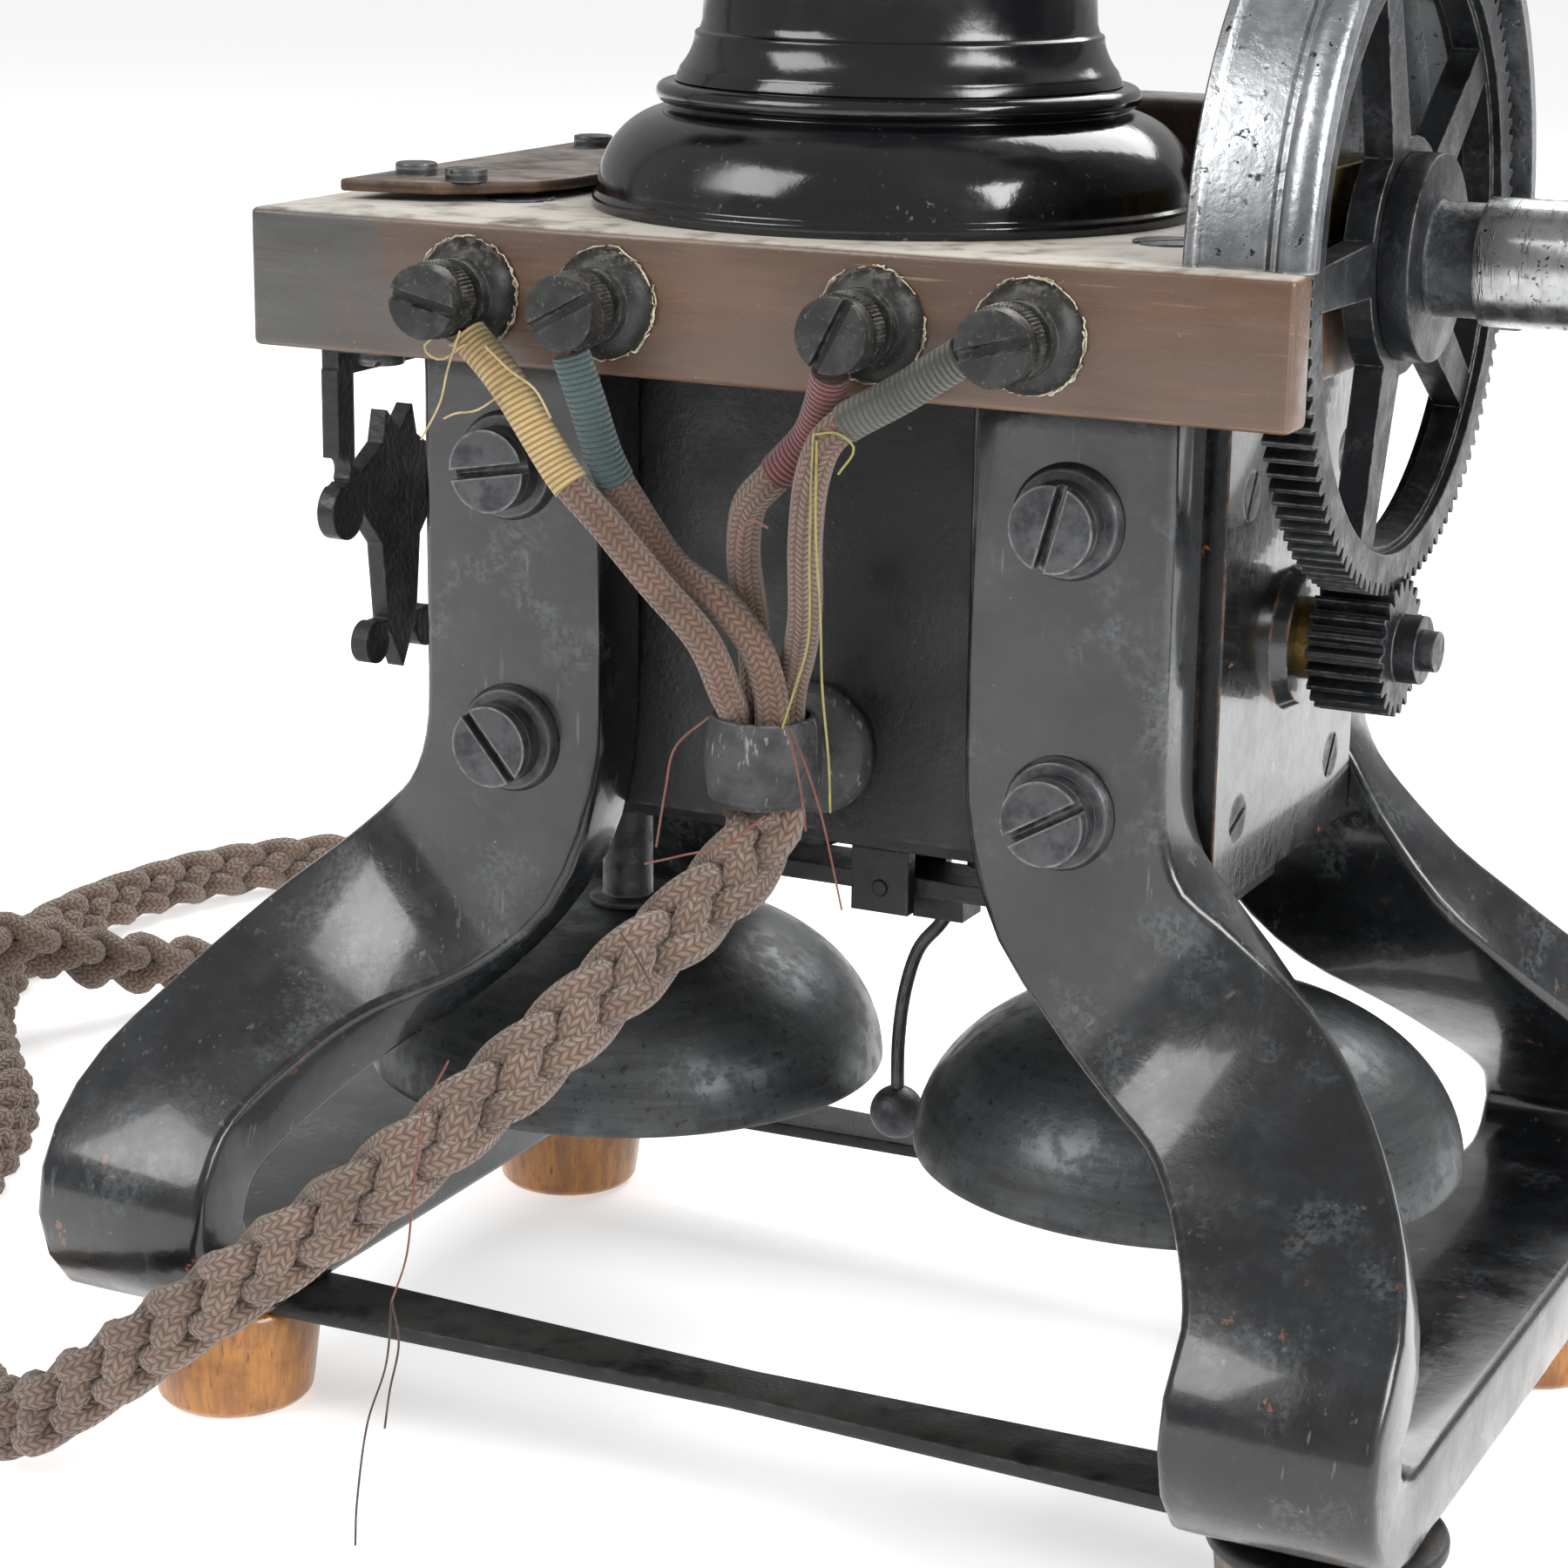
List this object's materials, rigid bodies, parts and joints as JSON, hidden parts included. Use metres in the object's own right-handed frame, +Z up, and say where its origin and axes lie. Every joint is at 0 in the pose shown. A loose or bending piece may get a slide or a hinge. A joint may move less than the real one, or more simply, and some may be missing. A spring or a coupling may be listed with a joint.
{
  "type": "magneto table telephone",
  "caption": "Skeleton table telephone: bent magnet legs, crank generator, bells, terminal board, column with cradle, handset and plaited cord.",
  "frame": {"origin": "on the table, under the middle of the telephone", "axes": "+X towards the crank, +Y to the back, +Z up"},
  "size_m": [0.3525, 0.2626, 0.312],
  "materials": {
    "japan": "glossy black stoving japan, scuffed and dusty",
    "dull_black": "dull black paint over iron",
    "steel_screws": "dull grey steel, slightly rusty",
    "vulcanite": "aged brown vulcanite, scratched",
    "black_terminals": "grainy black composition with cream dust",
    "brass": "dull aged brass",
    "bell_metal": "dark mottled gunmetal",
    "lead_grey": "worn lead grey metal",
    "guard_steel": "silvery worn steel with black pits",
    "gear_steel": "dark oily steel with bright worn faces",
    "bright_steel": "polished steel with fine pits",
    "ebonite": "dark polished ebonite",
    "green_silk": "silk covered copper wire, close wound",
    "bobbin_wood": "plain turned hardwood",
    "amber_wood": "amber varnished turned wood",
    "weathered_wood": "grey brown weathered wood",
    "cotton_leads": "brown braided cotton sleeve",
    "cotton_plait": "grey brown four strand plaited cotton cord"
  },
  "bodies": {
    "frame": {"magnet_left": "japan", "magnet_right": "japan", "magnet_bolts": "steel_screws", "magnet_washers": "steel_screws", "pole_plate_front": "dull_black", "pole_plate_rear": "dull_black", "end_plate_left": "japan", "end_plate_right": "japan", "end_plate_screws": "steel_screws", "armature_bushes": "brass", "terminal_board": "vulcanite", "board_screws": "steel_screws", "terminal_flanges": "black_terminals", "terminal_screws": "black_terminals", "arrester_plate": "vulcanite", "rear_block": "vulcanite", "gear_guard": "guard_steel", "axle_block": "brass", "column_foot": "japan", "column_tube": "japan", "column_cap": "japan", "coil_bobbin": "bobbin_wood", "coil_winding": "green_silk", "switch_block": "vulcanite", "switch_springs": "brass", "switch_bracket_left": "japan", "cord_rosette": "lead_grey", "cord_ring": "lead_grey", "ringer_bar": "dull_black", "ringer_coils": "green_silk", "ringer_pivots": "dull_black", "bell_left": "bell_metal", "bell_right": "bell_metal", "bell_posts": "steel_screws", "feet": "amber_wood", "foot_front_right": "weathered_wood", "foot_screws": "steel_screws", "cross_straps": "japan", "terminal_leads": "cotton_leads", "handset_cord": "cotton_plait"},
    "drive": {"gear_wheel": "gear_steel", "wheel_hub": "bright_steel", "axle": "bright_steel", "crank": "bright_steel"},
    "knob": {"crank_knob": "ebonite"},
    "rotor": {"armature_core": "gear_steel", "armature_winding": "green_silk", "armature_shaft": "bright_steel", "pinion": "gear_steel"},
    "clapper": {"clapper_armature": "dull_black", "clapper": "dull_black"},
    "cradle": {"cradle_fork": "dull_black"},
    "handset": {"handset_handle": "ebonite", "handset_ferrules": "bright_steel", "receiver_shell": "japan", "ear_cap": "ebonite", "transmitter_shell": "japan", "mouthpiece": "ebonite", "cord_gland": "lead_grey"},
    "talk_lever": {"talk_lever": "bright_steel"}
  },
  "joints": [
    {"name": "crank_turn", "type": "hinge", "parent": "frame", "child": "drive", "pos_m": [0, 0, 0.1553], "axis": [1, 0, 0], "continuous": true},
    {"name": "armature_spin", "type": "hinge", "parent": "frame", "child": "rotor", "pos_m": [0, 0, 0.1084], "axis": [1, 0, 0], "continuous": true},
    {"name": "knob_spin", "type": "hinge", "parent": "drive", "child": "knob", "pos_m": [0.1, 0, 0.1003], "axis": [1, 0, 0], "continuous": true},
    {"name": "clapper_swing", "type": "hinge", "parent": "frame", "child": "clapper", "pos_m": [0, 0, 0.0708], "axis": [0, 1, 0], "range_deg": [-2, 2]},
    {"name": "handset_lift", "type": "slide", "parent": "frame", "child": "handset", "axis": [0, 0, 1], "range_m": [0, 0.05]},
    {"name": "cradle_rise", "type": "slide", "parent": "frame", "child": "cradle", "axis": [0, 0, 1], "range_m": [0, 0.0035]},
    {"name": "talk_press", "type": "hinge", "parent": "handset", "child": "talk_lever", "pos_m": [-0.024, 0, 0.3104], "axis": [0, 1, 0], "range_deg": [0, 1.5], "stiffness_Nm_per_rad": 0.6, "springref_deg": -1.15}
  ],
  "couplings": [
    {"joint": "armature_spin", "follows": "crank_turn", "ratio": -5.0909},
    {"joint": "cradle_rise", "follows": "handset_lift", "ratio": 0.07}
  ]
}
